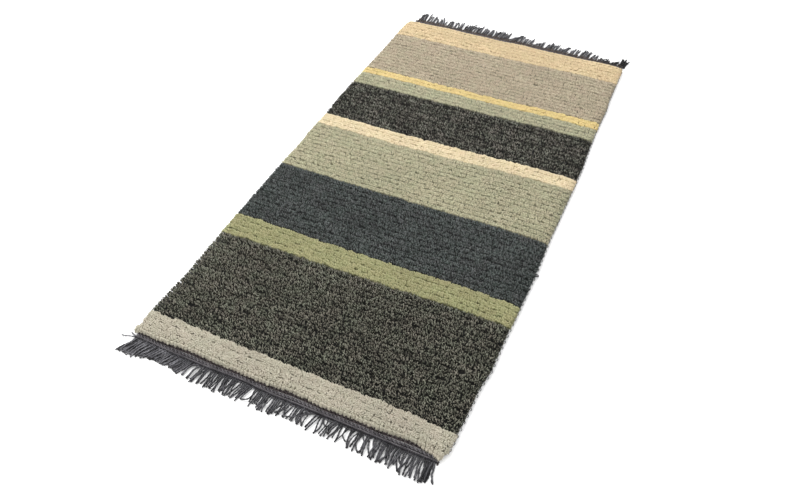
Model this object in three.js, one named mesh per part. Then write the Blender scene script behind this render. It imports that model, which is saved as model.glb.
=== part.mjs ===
// A hand-knotted wool rug of about 70 by 140 cm: a striped pile, a dark cotton web woven at each end,
// and the cut warp ends left as a fringe. Millimetres: x across the rug, y along it from the near end
// to the far end, z up from the floor. The origin is on the underside, at the middle of the pile.

import * as THREE from "three";

// Pile
const PILE_HEIGHT = 16;
const GROOVE_DEPTH = 2.5;
const GROOVE_NOTCH = 1.6;
const END_WALL_HEIGHT = 9;
const CORNER_RADIUS = 9;
const SPANS_ACROSS = 8;

// Webs, and the gap that parts one piece from the next
const WEB_THICKNESS = 3.2;
const GAP = 0.3;

// Fringe
const BACKING_WIDTH = 3;
const STRAND_WIDTH = 2.2;
const STRAND_HEIGHT = 2.6;
const STRAND_TIP_SHARE = 0.8;
const STRANDS_PER_LOCK = 4;
const STRAND_STEPS = [0.35, 0.7, 1];
const STRAND_BEND = 1.5;
const REACH_VARIATION = 0.03;
const REACH_TURN = 2.4;

// Where the pile starts and ends along the rug, at its left edge, middle and right edge
const NEAR_EDGE = { isEnd: true, left: -691, middle: -688, right: -684 };
const FAR_EDGE = { isEnd: true, left: 689, middle: 696, right: 701 };

// The stripes from the near end on: the rows of knots in each, and where its far side lies
const STRIPES = [
  { colour: "light beige", rows: 3, left: -640, middle: -637, right: -635 },
  { colour: "grey tweed", rows: 17, left: -378, middle: -373, right: -364 },
  { colour: "olive", rows: 4, left: -311, middle: -306, right: -300 },
  { colour: "slate blue", rows: 13, left: -106, middle: -101, right: -97 },
  { colour: "sage", rows: 13, left: 83, middle: 89, right: 106 },
  { colour: "cream", rows: 3, left: 131, middle: 136, right: 148 },
  { colour: "charcoal tweed", rows: 11, left: 300, middle: 309, right: 317 },
  { colour: "pale sage", rows: 4, left: 355, middle: 362, right: 373 },
  { colour: "yellow", rows: 2, left: 386, middle: 391, right: 401 },
  { colour: "taupe", rows: 14, left: 595, middle: 601, right: 608 },
  { colour: "sand", rows: 6, ...FAR_EDGE },
];

// How far the two side edges stand from the middle line
const SIDE_EDGES = [
  { y: -700, left: 345, right: 349 },
  { y: -640, left: 349, right: 352 },
  { y: -520, left: 345, right: 354 },
  { y: -480, left: 346, right: 360 },
  { y: -400, left: 348, right: 359 },
  { y: -200, left: 351, right: 361 },
  { y: -80, left: 351, right: 357 },
  { y: 0, left: 349, right: 357 },
  { y: 40, left: 353, right: 357 },
  { y: 120, left: 349, right: 357 },
  { y: 200, left: 356, right: 357 },
  { y: 280, left: 356, right: 353 },
  { y: 360, left: 351, right: 349 },
  { y: 480, left: 351, right: 350 },
  { y: 520, left: 350, right: 346 },
  { y: 640, left: 348, right: 344 },
  { y: 710, left: 342, right: 343 },
];

// The waves in the last row of knots at each end: how far they stray, and how fast they turn across
const END_WAVES = [
  { height: 1.3, turn: 9, shift: 0.6 },
  { height: 0.9, turn: 17, shift: 0 },
];

// The swells in the hand-clipped top: how high they stand, and how long they are each way
const SWELLS = [
  { height: 0.45, across: 97, along: 143 },
  { height: 0.45, across: -190, along: 61 },
];

// One row of knots along the rug: share of the row's width, and share of the groove's depth
const ROW_PROFILE = [
  { along: 0, depth: 1 },
  { along: 0.28, depth: 0 },
  { along: 0.7, depth: 0.12 },
];

// The pile's section from a side edge inwards: distance from the edge, and share of the pile's height
const EDGE_PROFILE = [
  { inwards: 0, height: 0.5 },
  { inwards: 2.2, height: 0.87 },
  { inwards: 7, height: 1 },
];

// Where the webs end along the rug
const WEB_ENDS = [
  { x: -345, near: -704, far: 704 },
  { x: -250, near: -706.5, far: 707 },
  { x: -167, near: -706, far: 708.5 },
  { x: -84, near: -702.5, far: 710.5 },
  { x: 0, near: -705.5, far: 711 },
  { x: 84, near: -703.5, far: 713.5 },
  { x: 167, near: -703, far: 713 },
  { x: 250, near: -702.5, far: 715 },
  { x: 345, near: -701, far: 715.5 },
];

// The web's section from the pile outwards, three twined lines: share of its width and of its thickness
const WEB_PROFILE = [
  { outwards: 0, height: 0 },
  { outwards: 0, height: 0.85 },
  { outwards: 0.17, height: 1 },
  { outwards: 0.34, height: 0.8 },
  { outwards: 0.5, height: 1 },
  { outwards: 0.67, height: 0.8 },
  { outwards: 0.83, height: 1 },
  { outwards: 1, height: 0.75 },
  { outwards: 1, height: 0 },
];

// Each fringe: where its backing starts and ends, and its locks from left to right. A lock's tips lean
// to the right by lean, reach past the backing by reach, and lie apart from each other by apart.
const NEAR_FRINGE = {
  start: -343,
  end: 336,
  locks: [
    { lean: -14, reach: 39, apart: 4.4 }, { lean: -14, reach: 37, apart: 4.4 },
    { lean: -14, reach: 41, apart: 4.2 }, { lean: -12, reach: 35, apart: 4.4 },
    { lean: -10, reach: 32, apart: 4.5 }, { lean: -9, reach: 32, apart: 4.4 },
    { lean: -9, reach: 34, apart: 4.4 }, { lean: -9, reach: 34, apart: 4.2 },
    { lean: -9, reach: 35, apart: 3.4 }, { lean: -9, reach: 38, apart: 3.8 },
    { lean: -9, reach: 39, apart: 3.6 }, { lean: -10, reach: 38, apart: 3.4 },
    { lean: -12, reach: 41, apart: 3.4 }, { lean: -8, reach: 39, apart: 3.4 },
    { lean: -6, reach: 38, apart: 3.4 }, { lean: -10, reach: 37, apart: 3.4 },
    { lean: -6, reach: 40, apart: 3.4 }, { lean: -5, reach: 39, apart: 3.5 },
    { lean: -2, reach: 37, apart: 3.4 }, { lean: -5, reach: 34, apart: 3.3 },
    { lean: -1, reach: 32, apart: 3.4 }, { lean: -4, reach: 34, apart: 3.4 },
    { lean: -2, reach: 37, apart: 3.6 }, { lean: 1, reach: 39, apart: 3.4 },
    { lean: 3, reach: 39, apart: 3.4 }, { lean: 5, reach: 40, apart: 3.4 },
    { lean: 8, reach: 38, apart: 3.4 }, { lean: 6, reach: 41, apart: 3.3 },
    { lean: 5, reach: 41, apart: 3.4 }, { lean: 6, reach: 38, apart: 3.4 },
    { lean: 2, reach: 44, apart: 3.4 }, { lean: 4, reach: 43, apart: 3.4 },
    { lean: 3, reach: 41, apart: 3.8 }, { lean: 0, reach: 44, apart: 3.5 },
    { lean: -2, reach: 43, apart: 3.8 }, { lean: 6, reach: 42, apart: 4 },
  ],
};
const FAR_FRINGE = {
  start: -332,
  end: 342,
  locks: [
    { lean: 10, reach: 40, apart: 3.4 }, { lean: 10, reach: 35, apart: 3.6 },
    { lean: 8, reach: 44, apart: 3.4 }, { lean: 5, reach: 35, apart: 3.5 },
    { lean: 3, reach: 40, apart: 3.4 }, { lean: 0, reach: 26, apart: 3.8 },
    { lean: -2, reach: 28, apart: 3.4 }, { lean: -4, reach: 32, apart: 3.6 },
    { lean: -7, reach: 38, apart: 3.4 }, { lean: -4, reach: 27, apart: 3.7 },
    { lean: -5, reach: 34, apart: 3.4 }, { lean: -1, reach: 35, apart: 3.6 },
    { lean: -3, reach: 32, apart: 3.4 }, { lean: -3, reach: 31, apart: 3.6 },
    { lean: -3, reach: 30, apart: 3.5 }, { lean: -4, reach: 36, apart: 3.3 },
    { lean: -6, reach: 40, apart: 3.4 }, { lean: 8, reach: 31, apart: 3.4 },
    { lean: 7, reach: 35, apart: 3.4 }, { lean: 4, reach: 26, apart: 3.6 },
    { lean: 2, reach: 31, apart: 3.4 }, { lean: 8, reach: 27, apart: 3.4 },
    { lean: 6, reach: 24, apart: 3.3 }, { lean: 8, reach: 45, apart: 3.4 },
    { lean: 4, reach: 33, apart: 3.4 }, { lean: -1, reach: 20, apart: 3.6 },
    { lean: -4, reach: 24, apart: 3.5 }, { lean: -6, reach: 28, apart: 3.3 },
    { lean: -5, reach: 32, apart: 3.3 }, { lean: -6, reach: 29, apart: 3.4 },
    { lean: -8, reach: 30, apart: 3.5 }, { lean: -6, reach: 26, apart: 3.4 },
    { lean: -5, reach: 18, apart: 3.7 }, { lean: -3, reach: 16, apart: 3.6 },
    { lean: -2, reach: 15, apart: 3.8 }, { lean: 6, reach: 31, apart: 3.4 },
  ],
};

// The loose warp end at the near left corner, which takes the place of the first strand
const LOOSE_END = [
  { x: -350, y: -709.5 },
  { x: -358, y: -713.5 },
  { x: -370, y: -713 },
];

const woolPile = new THREE.MeshStandardMaterial({ color: 0xb0a48c, roughness: 0.95, flatShading: true });
const cottonWeb = new THREE.MeshStandardMaterial({ color: 0x4f4a52, roughness: 0.9, flatShading: true });
const cottonFringe = new THREE.MeshStandardMaterial({ color: 0x47474c, roughness: 0.9, flatShading: true });

// A closed body put together from numbered points and flat faces
class Body {
  constructor() {
    this.points = [];
    this.triangles = [];
  }

  point(x, y, z) {
    this.points.push(new THREE.Vector3(x, y, z));
    return this.points.length - 1;
  }

  // A flat face with corners in order, all of them in sight from the first one
  face(...corners) {
    for (let i = 1; i + 1 < corners.length; i += 1) {
      const triangle = [corners[0], corners[i], corners[i + 1]];
      if (new Set(triangle).size === 3) {
        this.triangles.push(triangle);
      }
    }
  }

  // A flat face between a straight side from first to second and a chain of corners
  chainFace(first, chain, second) {
    const middle = Math.floor(chain.length / 2);
    this.face(first, second, chain[middle]);
    this.face(first, ...chain.slice(0, middle + 1).reverse());
    this.face(second, ...chain.slice(middle).reverse());
  }

  // The flat strip between two lines of points that run the same way along x
  strip(lower, upper) {
    const nextX = (line, i) => (i + 1 < line.length ? this.points[line[i + 1]].x : Infinity);
    let i = 0;
    let j = 0;
    while (i + 1 < lower.length || j + 1 < upper.length) {
      if (nextX(lower, i) < nextX(upper, j)) {
        this.face(lower[i], lower[i + 1], upper[j]);
        i += 1;
      } else {
        this.face(lower[i], upper[j + 1], upper[j]);
        j += 1;
      }
    }
  }

  // The wall between two lines of as many points each
  wall(lower, upper) {
    for (let i = 0; i + 1 < lower.length; i += 1) {
      this.face(lower[i], lower[i + 1], upper[i + 1], upper[i]);
    }
  }

  // The mesh with its faces turned outwards, also where the body was laid out mirrored
  mesh(name, material) {
    const volume = this.triangles.reduce((sum, [a, b, c]) => {
      const normal = this.points[b].clone().cross(this.points[c]);
      return sum + this.points[a].dot(normal);
    }, 0);
    const outwards = volume > 0 ? this.triangles : this.triangles.map(([a, b, c]) => [a, c, b]);
    const geometry = new THREE.BufferGeometry().setFromPoints(this.points);
    geometry.setIndex(outwards.flat());
    geometry.computeVertexNormals();
    const mesh = new THREE.Mesh(geometry, material);
    mesh.name = name;
    return mesh;
  }
}

// A value between the rows of a table, which rise in one column
function readTable(table, column, value, at) {
  const next = table.findIndex((row) => row[column] > at);
  if (next === 0) {
    return table[0][value];
  }
  if (next < 0) {
    return table.at(-1)[value];
  }
  const low = table[next - 1];
  const high = table[next];
  return THREE.MathUtils.mapLinear(at, low[column], high[column], low[value], high[value]);
}

// How far the knots at the two ends stray from a smooth line; across runs from -1 to 1
function endWave(across) {
  return END_WAVES.reduce((sum, { height, turn, shift }) => (
    sum + height * Math.sin(turn * across + shift)
  ), 0);
}

// Where a line across the rug lies, bent through its three given places
function lineY(line, across) {
  const slant = (line.right - line.left) / 2;
  const bow = (line.right + line.left) / 2 - line.middle;
  const wave = line.isEnd ? endWave(across) : 0;
  return line.middle + slant * across + bow * across ** 2 + wave;
}

// How far the hand-clipped top rises and dips
function clippingSwell(x, y) {
  return SWELLS.reduce((sum, { height, across, along }) => (
    sum + height * Math.sin(x / across + y / along)
  ), 0);
}

// How far a rounded corner draws a side edge in, at a distance from the rug's end
function cornerInset(fromEnd) {
  const short = Math.max(CORNER_RADIUS - fromEnd, 0);
  return CORNER_RADIUS - Math.sqrt(CORNER_RADIUS ** 2 - short ** 2);
}

// A side edge of the pile, -1 at the left and 1 at the right, where a groove or a row meets it
function sideX(side, y, depth) {
  const fromEnd = Math.min(y - lineY(NEAR_EDGE, side), lineY(FAR_EDGE, side) - y);
  const edge = readTable(SIDE_EDGES, "y", side < 0 ? "left" : "right", y);
  return side * (edge - cornerInset(fromEnd) - depth * GROOVE_NOTCH);
}

// One line of places over the pile, from the floor at the left edge to the floor at the right edge
function pileLine(nearSide, farSide, share, depth) {
  const isEnd = nearSide.isEnd && share === 0 || farSide.isEnd && share === 1;
  const yAt = (across) => THREE.MathUtils.lerp(lineY(nearSide, across), lineY(farSide, across), share);
  const left = sideX(-1, yAt(-1), depth);
  const right = sideX(1, yAt(1), depth);
  const place = (x, height) => {
    const y = yAt(THREE.MathUtils.mapLinear(x, left, right, -1, 1));
    const top = PILE_HEIGHT - depth * GROOVE_DEPTH + clippingSwell(x, y);
    const wallTop = height > 0 ? END_WALL_HEIGHT : 0;
    return { x, y, z: isEnd ? wallTop : height * top };
  };
  const edge = (from, side) => EDGE_PROFILE.map((row) => place(from - side * row.inwards, row.height));
  const middle = Array.from({ length: SPANS_ACROSS - 1 }, (_, i) => (
    place(THREE.MathUtils.lerp(left, right, (i + 1) / SPANS_ACROSS), 1)
  ));
  return [place(left, 0), ...edge(left, -1), ...middle, ...edge(right, 1).reverse(), place(right, 0)];
}

// All lines over the pile, three to a row of knots
function pileLines() {
  const lines = [];
  let nearSide = NEAR_EDGE;
  for (const stripe of STRIPES) {
    for (let row = 0; row < stripe.rows; row += 1) {
      for (const { along, depth } of ROW_PROFILE) {
        lines.push(pileLine(nearSide, stripe, (row + along) / stripe.rows, depth));
      }
    }
    nearSide = stripe;
  }
  lines.push(pileLine(STRIPES.at(-2), FAR_EDGE, 1, 0));
  return lines;
}

// The foot of an end wall: the places under the wall's own, with its two corners shared
function wallFoot(body, line, corners) {
  const last = line.length - 1;
  return line.map(({ x, y }, i) => {
    if (i <= 1) {
      return corners[0];
    }
    return i >= last - 1 ? corners[last] : body.point(x, y, 0);
  });
}

// The slab of ground cloth and knots, its underside flat: a fan at each end and cross strips between
function makePile(lines) {
  const body = new Body();
  const rows = lines.map((line) => line.map(({ x, y, z }) => body.point(x, y, z)));
  for (let i = 0; i + 1 < rows.length; i += 1) {
    body.wall(rows[i], rows[i + 1]);
  }
  const nearFoot = wallFoot(body, lines[0], rows[0]);
  const farFoot = wallFoot(body, lines.at(-1), rows.at(-1));
  body.wall(nearFoot, rows[0]);
  body.wall(rows.at(-1), farFoot);

  const leftFeet = rows.map((row) => row[0]);
  const rightFeet = rows.map((row) => row.at(-1));
  const aRow = ROW_PROFILE.length;
  const nearChain = [
    ...leftFeet.slice(1, aRow).reverse(),
    ...nearFoot.slice(1, -1),
    ...rightFeet.slice(1, aRow),
  ];
  const farChain = [
    ...rightFeet.slice(-aRow, -1),
    ...farFoot.slice(1, -1).reverse(),
    ...leftFeet.slice(-aRow, -1).reverse(),
  ];
  body.chainFace(leftFeet[aRow], nearChain, rightFeet[aRow]);
  body.wall(leftFeet.slice(aRow, -aRow), rightFeet.slice(aRow, -aRow));
  body.chainFace(rightFeet.at(-aRow - 1), farChain, leftFeet.at(-aRow - 1));
  return body.mesh("pile", woolPile);
}

// The web's two edges, at the places where the pile's end wall has its points
function webEdges(wall, end, side) {
  return wall.slice(1, -1).map(({ x, y }) => ({
    x,
    inner: y + side * GAP,
    outer: readTable(WEB_ENDS, "x", end, x),
  }));
}

// A woven band from end to end of the pile's wall, its section repeated at each place
function makeWeb(name, edges) {
  const body = new Body();
  const sections = edges.map(({ x, inner, outer }) => WEB_PROFILE.map(({ outwards, height }) => (
    body.point(x, THREE.MathUtils.lerp(inner, outer, outwards), height * WEB_THICKNESS)
  )));
  for (let i = 0; i + 1 < sections.length; i += 1) {
    body.wall([...sections[i], sections[i][0]], [...sections[i + 1], sections[i + 1][0]]);
  }
  const [first, last] = [sections[0], sections.at(-1)];
  body.chainFace(first[0], first.slice(1, -1), first.at(-1));
  body.chainFace(last.at(-1), last.slice(1, -1).reverse(), last[0]);
  return body.mesh(name, cottonWeb);
}

// The inner side of a fringe's backing, which follows the web's outer edge and runs past its ends
function backingLine(edges, fringe, end, side) {
  const between = edges.map(({ x }) => x).filter((x) => x > fringe.start && x < fringe.end);
  return [fringe.start, ...between, fringe.end].map((x) => ({
    x,
    y: readTable(WEB_ENDS, "x", end, x) + side * GAP,
  }));
}

// Each strand from its root on the backing to its tip, as places on the floor
function strandPaths(fringe, outerY, side) {
  const count = fringe.locks.length * STRANDS_PER_LOCK;
  const pitch = (fringe.end - fringe.start) / count;
  return Array.from({ length: count }, (_, i) => {
    const { lean, reach, apart } = fringe.locks[Math.floor(i / STRANDS_PER_LOCK)];
    const fromLockMiddle = i % STRANDS_PER_LOCK - (STRANDS_PER_LOCK - 1) / 2;
    const x = fringe.start + pitch * (i + 0.5);
    const root = { x, y: outerY(x) };
    const tipX = x + lean + fromLockMiddle * (apart - pitch);
    const tipY = root.y + side * reach * (1 - REACH_VARIATION * (1 + Math.sin(REACH_TURN * i)));
    const path = STRAND_STEPS.map((share) => ({
      x: THREE.MathUtils.lerp(root.x, tipX, share ** STRAND_BEND),
      y: THREE.MathUtils.lerp(root.y, tipY, share),
    }));
    return [root, ...path];
  });
}

// A strand's three-sided sections on the floor: left foot, right foot and top
function strandSections(body, path, side) {
  const last = path.length - 1;
  return path.map(({ x, y }, i) => {
    const from = path[Math.max(i - 1, 0)];
    const to = path[Math.min(i + 1, last)];
    const length = Math.hypot(to.x - from.x, to.y - from.y);
    const across = i === 0 ? { x: 1, y: 0 } : {
      x: side * (to.y - from.y) / length,
      y: side * (from.x - to.x) / length,
    };
    const size = THREE.MathUtils.lerp(1, STRAND_TIP_SHARE, i / last);
    const half = size * STRAND_WIDTH / 2;
    return {
      left: body.point(x - half * across.x, y - half * across.y, 0),
      right: body.point(x + half * across.x, y + half * across.y, 0),
      top: body.point(x, y, size * STRAND_HEIGHT),
    };
  });
}

// The strands of one end, fused by their roots into a flat backing strip
function makeFringe(name, seam, fringe, side, looseEnd) {
  const body = new Body();
  const outerY = (x) => readTable(seam, "x", "y", x) + side * BACKING_WIDTH;
  const paths = strandPaths(fringe, outerY, side);
  if (looseEnd) {
    paths[0] = [paths[0][0], ...looseEnd];
  }
  const strands = paths.map((path) => strandSections(body, path, side));
  for (const sections of strands) {
    const rings = sections.map(({ left, right, top }) => [left, right, top, left]);
    for (let i = 0; i + 1 < rings.length; i += 1) {
      body.wall(rings[i + 1], rings[i]);
    }
    const { left, right, top } = sections.at(-1);
    body.face(left, top, right);
  }

  const innerFoot = seam.map(({ x, y }) => body.point(x, y, 0));
  const innerTop = seam.map(({ x, y }) => body.point(x, y, STRAND_HEIGHT));
  const cornersAt = (x) => ({
    foot: body.point(x, outerY(x), 0),
    top: body.point(x, outerY(x), STRAND_HEIGHT),
  });
  const start = cornersAt(fringe.start);
  const end = cornersAt(fringe.end);
  const roots = strands.map((sections) => sections[0]);
  const outerTop = [start.top, ...roots.map(({ top }) => top), end.top];
  const rootFeet = roots.flatMap(({ left, right }) => [left, right]);
  const outerFoot = [start.foot, ...rootFeet, end.foot];
  body.strip(innerTop, outerTop);
  body.strip(outerFoot, innerFoot);
  body.wall(innerFoot, innerTop);
  body.face(innerFoot[0], innerTop[0], start.top, start.foot);
  body.face(innerTop.at(-1), innerFoot.at(-1), end.foot, end.top);
  for (let i = 0; i + 1 < outerTop.length; i += 1) {
    body.face(outerTop[i], outerTop[i + 1], outerFoot[2 * i + 1], outerFoot[2 * i]);
  }
  return body.mesh(name, cottonFringe);
}

// One end of the rug: its web against the pile's end wall, and its fringe against the web
function makeEnd(end, side, wall, fringe, looseEnd) {
  const edges = webEdges(wall, end, side);
  const seam = backingLine(edges, fringe, end, side);
  return [makeWeb(`web_${end}`, edges), makeFringe(`fringe_${end}`, seam, fringe, side, looseEnd)];
}

const lines = pileLines();
const rug = new THREE.Group();
rug.add(makePile(lines));
rug.add(...makeEnd("near", -1, lines[0], NEAR_FRINGE, LOOSE_END));
rug.add(...makeEnd("far", 1, lines.at(-1), FAR_FRINGE));

export default rug;
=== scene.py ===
import math

import bpy
import numpy as np
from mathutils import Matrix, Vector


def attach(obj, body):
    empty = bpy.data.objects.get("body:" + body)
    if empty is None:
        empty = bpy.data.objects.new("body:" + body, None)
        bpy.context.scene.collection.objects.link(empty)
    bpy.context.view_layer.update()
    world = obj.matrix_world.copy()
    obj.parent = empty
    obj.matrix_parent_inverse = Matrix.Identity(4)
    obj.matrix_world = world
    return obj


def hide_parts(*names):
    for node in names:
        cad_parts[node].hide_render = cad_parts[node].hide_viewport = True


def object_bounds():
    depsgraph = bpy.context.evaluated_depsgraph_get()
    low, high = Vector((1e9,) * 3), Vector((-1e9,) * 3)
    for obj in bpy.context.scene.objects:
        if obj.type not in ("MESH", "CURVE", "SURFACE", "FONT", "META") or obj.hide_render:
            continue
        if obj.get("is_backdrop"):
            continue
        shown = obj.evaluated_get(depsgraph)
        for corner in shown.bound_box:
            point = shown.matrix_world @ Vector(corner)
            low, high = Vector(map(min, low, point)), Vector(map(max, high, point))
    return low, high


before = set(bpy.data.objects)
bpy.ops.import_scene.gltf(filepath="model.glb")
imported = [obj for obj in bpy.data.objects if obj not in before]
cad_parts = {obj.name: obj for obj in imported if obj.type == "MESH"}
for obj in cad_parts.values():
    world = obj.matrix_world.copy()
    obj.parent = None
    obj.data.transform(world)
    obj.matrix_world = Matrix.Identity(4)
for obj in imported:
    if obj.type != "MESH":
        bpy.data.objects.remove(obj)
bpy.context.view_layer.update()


# The photographer stands off the rug's near right corner and looks down over it towards its middle.
# Nothing of the view is shifted, and all of the rug is sharp.
camera = bpy.data.objects.new("camera", bpy.data.cameras.new("camera"))
camera.data.sensor_fit = "HORIZONTAL"
camera.data.sensor_width = 36
camera.data.angle = math.radians(56.69)
camera.location = (0.5485, -1.3146, 1.2413)
camera.rotation_euler = [math.radians(turn) for turn in (43.49, 0, 24.99)]
bpy.context.scene.collection.objects.link(camera)
bpy.context.scene.camera = camera


# The ground cloth: cotton warp and weft that hold the feet of all the knots, beaten into one firm
# slab. Its top has a rib for each row of knots, its underside shows the backs of the knots, and it
# wears the colour of the wool that is knotted into it.
MM = 0.001
HALF_WIDTH = 350
PILE_HEIGHT = 16
GROOVE_DEPTH = 2.5
GROOVE_NOTCH = 1.6
CORNER_RADIUS = 9

# Where the pile starts and ends along the rug, in millimetres
NEAR_EDGE = {"is_end": True, "left": -691, "middle": -688, "right": -684}
FAR_EDGE = {"is_end": True, "left": 689, "middle": 696, "right": 701}

# The stripes from the near end on: rows of knots, where the far side lies, the wool's colours from its
# darkest yarns to its lightest, how many yarn ends stand across and along a knot, and the share of the
# light that gets down between them
STRIPES = [
    {"name": "light_beige", "rows": 3, "left": -638, "middle": -638, "right": -639,
     "dark": (155, 149, 131), "light": (181, 175, 159), "ends": (4, 5), "open": 0.85},
    {"name": "grey_tweed", "rows": 17, "left": -379, "middle": -370, "right": -364,
     "dark": (8, 8, 4), "light": (150, 149, 134), "ends": (4, 4), "open": 0.03},
    {"name": "olive", "rows": 4, "left": -311, "middle": -307, "right": -302,
     "dark": (119, 118, 80), "light": (172, 170, 129), "ends": (4, 5), "open": 0.5},
    {"name": "slate_blue", "rows": 13, "left": -106, "middle": -101, "right": -97,
     "dark": (15, 16, 16), "light": (112, 117, 115), "ends": (4, 4), "open": 0.2},
    {"name": "sage", "rows": 13, "left": 83, "middle": 89, "right": 106,
     "dark": (130, 126, 99), "light": (182, 178, 151), "ends": (3, 4), "open": 0.5},
    {"name": "cream", "rows": 3, "left": 131, "middle": 136, "right": 148,
     "dark": (189, 172, 136), "light": (213, 199, 169), "ends": (3, 4), "open": 0.75},
    {"name": "charcoal_tweed", "rows": 11, "left": 300, "middle": 309, "right": 317,
     "dark": (6, 6, 3), "light": (144, 142, 131), "ends": (3, 4), "open": 0.03},
    {"name": "pale_sage", "rows": 4, "left": 356, "middle": 362, "right": 371,
     "dark": (115, 113, 92), "light": (184, 181, 152), "ends": (3, 4), "open": 0.45},
    {"name": "yellow", "rows": 2, "left": 385, "middle": 390, "right": 403,
     "dark": (186, 163, 106), "light": (209, 189, 134), "ends": (3, 4), "open": 0.75},
    {"name": "taupe", "rows": 14, "left": 592, "middle": 600, "right": 605,
     "dark": (128, 118, 98), "light": (188, 176, 153), "ends": (3, 4), "open": 0.5},
    {"name": "sand", "rows": 6, **FAR_EDGE,
     "dark": (168, 148, 113), "light": (212, 192, 156), "ends": (3, 4), "open": 0.7},
]

# How far the two side edges stand from the middle line
SIDE_EDGES = {
    "y": [-700, -640, -520, -480, -400, -200, -80, 0, 40, 120, 200, 280, 360, 480, 520, 640, 710],
    "left": [345, 350, 345, 346, 348, 351, 351, 349, 353, 351, 356, 356, 353, 351, 351, 352, 343],
    "right": [349, 352, 354, 360, 359, 361, 357, 357, 357, 357, 357, 353, 349, 350, 346, 344, 343],
}

# The way in which hand-beaten rows run crooked: how far they lie off their line, from left to right,
# and the small waves of each line
ROW_DRIFT = {"across": [-1, -0.6, -0.35, -0.1, 0.1, 0.35, 0.6, 0.85, 1],
             "off": [-0.5, -0.5, -1.7, -0.2, -0.6, 1, 3.6, 1, 0]}
ROW_WAVES = [(0.5, 21, 0.9), (0.5, 33, 0.4), (0.5, 44, 1.7)]

# The waves in the last row of knots at each end, and the swells of the hand-clipped top
END_WAVES = [(1.3, 9, 0.6), (0.9, 17, 0)]
SWELLS = [(0.45, 97, 143), (0.45, -190, 61)]

# One row of knots along the rug: share of the row's width, and share of the groove's depth
ROW_ALONG = [0, 0.28, 0.7, 1]
ROW_DEPTH = [1, 0, 0.12, 1]

SLAB_TOP = 11
SLAB_EDGE = 3.2
SLAB_EDGE_DROP = 2.5
SLAB_PLACES = 24
BACK_GROOVE = 0.5
END_INSET = 4


def mix(low, high, share):
    return low + (high - low) * share


def line_y(line, across):
    """Where a line across the rug lies; across runs from -1 at the left edge to 1 at the right."""
    middle = line["middle"]
    slant = (line["right"] - line["left"]) / 2
    bow = (line["right"] + line["left"]) / 2 - middle
    straight = middle + slant * across + bow * across**2
    if line.get("is_end"):
        return straight + sum(height * np.sin(turn * across + shift) for height, turn, shift in END_WAVES)
    waves = sum(height * np.sin(turn * across + shift * middle) for height, turn, shift in ROW_WAVES)
    return straight + waves + np.interp(across, ROW_DRIFT["across"], ROW_DRIFT["off"])


def clipping_swell(x, y):
    """How far the hand-clipped top lies above or below its mean height."""
    return sum(height * np.sin(x / across + y / along) for height, across, along in SWELLS)


def side_x(side, y, depth):
    """A side edge of the pile, -1 at the left and 1 at the right, where a groove or a row meets it."""
    from_end = np.minimum(y - line_y(NEAR_EDGE, side), line_y(FAR_EDGE, side) - y)
    short = np.clip(CORNER_RADIUS - from_end, 0, CORNER_RADIUS)
    inset = CORNER_RADIUS - np.sqrt(CORNER_RADIUS**2 - short**2)
    edge = np.interp(y, SIDE_EDGES["y"], SIDE_EDGES["left" if side < 0 else "right"])
    return side * (edge - inset - depth * GROOVE_NOTCH)


def pile_place(near_side, stripe, share, across, depth):
    """x and y of a place in a stripe, at a share of its width from its near side to its far side."""
    edges = [mix(line_y(near_side, side), line_y(stripe, side), share) for side in (-1, 1)]
    left, right = side_x(-1, edges[0], depth), side_x(1, edges[1], depth)
    y = mix(line_y(near_side, across), line_y(stripe, across), share)
    return mix(left, right, (across + 1) / 2), y


def make_mesh(name, points, *faces):
    """A smooth-shaded mesh of points in millimetres and tables of faces with as many corners each."""
    mesh = bpy.data.meshes.new(name)
    corners = np.concatenate([table.ravel() for table in faces])
    sizes = np.concatenate([np.full(len(table), table.shape[1]) for table in faces])
    mesh.vertices.add(len(points))
    mesh.vertices.foreach_set("co", (points * MM).ravel())
    mesh.loops.add(len(corners))
    mesh.loops.foreach_set("vertex_index", corners)
    mesh.polygons.add(len(sizes))
    mesh.polygons.foreach_set("loop_start", np.cumsum(sizes) - sizes)
    mesh.update(calc_edges=True)
    mesh.shade_smooth()
    return mesh


def put_on_rug(mesh, slot, *materials):
    """The mesh as a piece of the rug, in its materials."""
    piece = bpy.data.objects.new(mesh.name, mesh)
    bpy.context.scene.collection.objects.link(piece)
    for material in materials:
        mesh.materials.append(material)
    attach(piece, "root")
    return piece


def dye(red, green, blue):
    """A colour as on a screen, 0 to 255, turned into the linear one that a shader takes."""
    shares = [level / 255 for level in (red, green, blue)]
    return [*(s / 12.92 if s <= 0.04045 else ((s + 0.055) / 1.055) ** 2.4 for s in shares), 1]


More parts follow.
